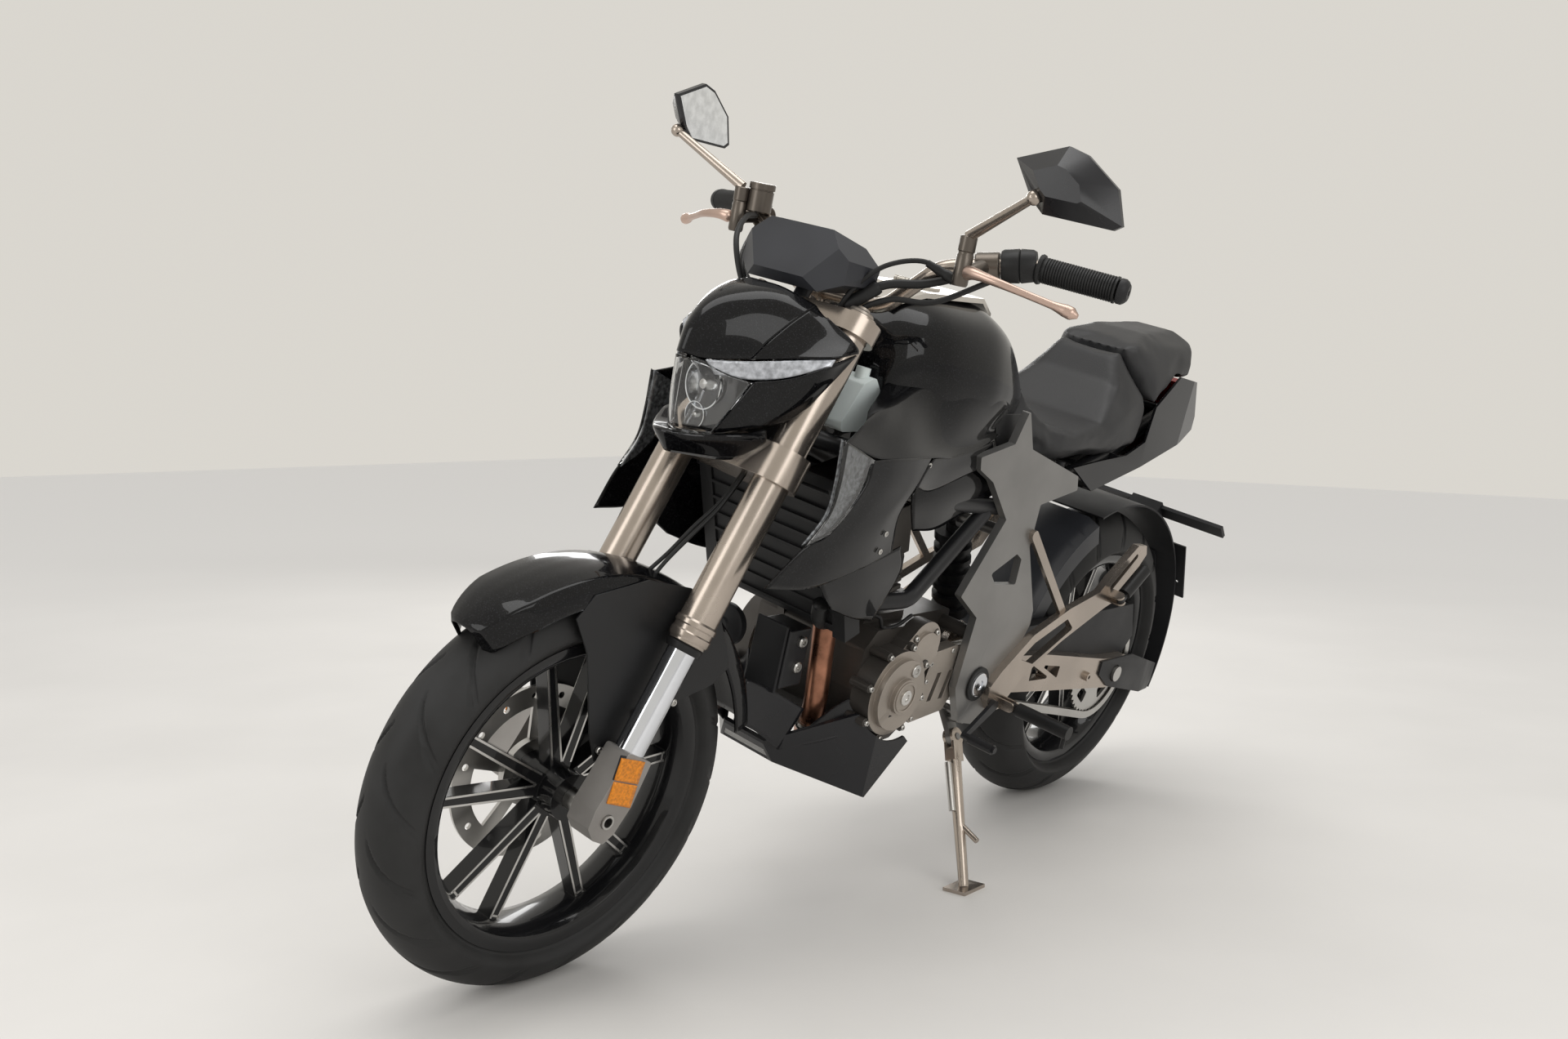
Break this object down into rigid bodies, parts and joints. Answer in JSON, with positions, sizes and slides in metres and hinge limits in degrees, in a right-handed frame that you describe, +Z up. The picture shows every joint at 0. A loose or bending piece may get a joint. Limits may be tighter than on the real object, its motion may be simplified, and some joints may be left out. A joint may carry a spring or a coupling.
{
  "type": "sport bike",
  "caption": "Light naked sport bike with single cylinder engine, spoked alloy wheels, wide bar and stepped seat, parked on its side stand.",
  "frame": {"origin": "middle of the parked bike's bounding box, on the ground", "axes": "+X forward along the bike, +Y to the rider's left, +Z up from the ground; the bike leans to +Y on its side stand"},
  "size_m": [2.0195, 0.9474, 1.3127],
  "materials": {
    "gloss_black": "gloss with fine metal flake",
    "gloss_black_panel": "gloss with fine metal flake",
    "silver_paint": "satin metallic",
    "bronze_metal": "satin anodised look",
    "grey_metal": "satin metallic",
    "black_metal": "satin",
    "dark_engine": "cast, painted",
    "cast_alloy": "cast, matt",
    "chrome": "polished",
    "steel": "brushed",
    "copper_steel": "heat-tinted",
    "tyre": "matt",
    "rubber": "matt",
    "black_plastic": "matt, grained",
    "clear_lens": "clear",
    "red_lens": "translucent red",
    "white_plastic": "translucent",
    "seat_vinyl": "matt vinyl"
  },
  "bodies": {
    "chassis": {"frame": "black_metal", "frame_plates": "grey_metal", "crankcase": "dark_engine", "cylinder": "dark_engine", "engine_covers": "dark_engine", "radiator": "black_metal", "header_pipe": "copper_steel", "muffler": "black_metal", "fuel_tank": "gloss_black", "tank_cover": "silver_paint", "shroud_left": "gloss_black_panel", "shroud_right": "gloss_black_panel", "front_indicators": "clear_lens", "coolant_bottle": "white_plastic", "rider_seat": "seat_vinyl", "pillion_seat": "seat_vinyl", "tail_cowl": "gloss_black_panel", "tail_light": "red_lens", "belly_pan": "black_plastic", "swingarm": "bronze_metal", "rear_axle": "steel", "shock": "black_metal", "chain": "steel", "chain_guard": "black_plastic", "hugger": "black_plastic", "rear_mudguard": "black_plastic", "rear_caliper": "black_metal", "peg_brackets": "bronze_metal", "foot_controls": "black_metal"},
    "steering": {"fork_outer_tubes": "bronze_metal", "fork_inner_tubes": "chrome", "fork_feet": "cast_alloy", "front_axle": "steel", "fork_clamps": "bronze_metal", "handlebar": "bronze_metal", "grips": "rubber", "hand_controls": "bronze_metal", "mirror_stems": "bronze_metal", "mirror_heads": "black_plastic", "dash": "black_plastic", "headlight_housing": "gloss_black_panel", "headlight_lens": "clear_lens", "front_fender": "gloss_black_panel", "front_caliper": "black_metal"},
    "front_wheel": {"front_tyre": "tyre", "front_rim": "black_metal", "front_disc": "steel"},
    "rear_wheel": {"rear_tyre": "tyre", "rear_rim": "black_metal", "rear_sprocket": "steel", "rear_disc": "steel"},
    "side_stand": {"side_stand": "bronze_metal", "stand_spring": "steel"},
    "fuel_cap": {"fuel_cap": "steel"},
    "rider_peg_left": {"rider_peg_left": "rubber"},
    "rider_peg_right": {"rider_peg_right": "rubber"},
    "pillion_peg_left": {"pillion_peg_left": "rubber"},
    "pillion_peg_right": {"pillion_peg_right": "rubber"}
  },
  "joints": [
    {"name": "steering", "type": "hinge", "parent": "chassis", "child": "steering", "pos_m": [0.40571, -0.03955, 0.83936], "axis": [-0.4306, 0.228, 0.8733], "range_deg": [-21.62, 28.38]},
    {"name": "front_wheel_spin", "type": "hinge", "parent": "steering", "child": "front_wheel", "pos_m": [0.71714, -0.18593, 0.28681], "axis": [0.0532, 0.9723, -0.2276], "continuous": true},
    {"name": "rear_wheel_spin", "type": "hinge", "parent": "chassis", "child": "rear_wheel", "pos_m": [-0.66781, -0.17912, 0.30454], "axis": [0, 0.9676, -0.2526], "continuous": true},
    {"name": "side_stand_swing", "type": "hinge", "parent": "chassis", "child": "side_stand", "pos_m": [-0.1028, -0.06588, 0.23164], "axis": [-0.0157, 0.9379, 0.3467], "range_deg": [0, 97]},
    {"name": "fuel_cap_hinge", "type": "hinge", "parent": "chassis", "child": "fuel_cap", "pos_m": [0.17612, 0.00425, 1.0071], "axis": [0, 0.9676, -0.2526], "range_deg": [0, 100]},
    {"name": "rider_peg_left_fold", "type": "hinge", "parent": "chassis", "child": "rider_peg_left", "pos_m": [-0.1678, 0.0128, 0.28757], "axis": [1, 0, 0.0001], "range_deg": [0, 55]},
    {"name": "rider_peg_right_fold", "type": "hinge", "parent": "chassis", "child": "rider_peg_right", "pos_m": [-0.16781, -0.35488, 0.38355], "axis": [-1, 0, -0.0001], "range_deg": [0, 55]},
    {"name": "pillion_peg_left_fold", "type": "hinge", "parent": "chassis", "child": "pillion_peg_left", "pos_m": [-0.48282, 0.0533, 0.45059], "axis": [-0.5999, -0.2021, -0.7741], "range_deg": [0, 90]},
    {"name": "pillion_peg_right_fold", "type": "hinge", "parent": "chassis", "child": "pillion_peg_right", "pos_m": [-0.48283, -0.31051, 0.54556], "axis": [0.5999, 0.2021, 0.7741], "range_deg": [0, 90]}
  ]
}
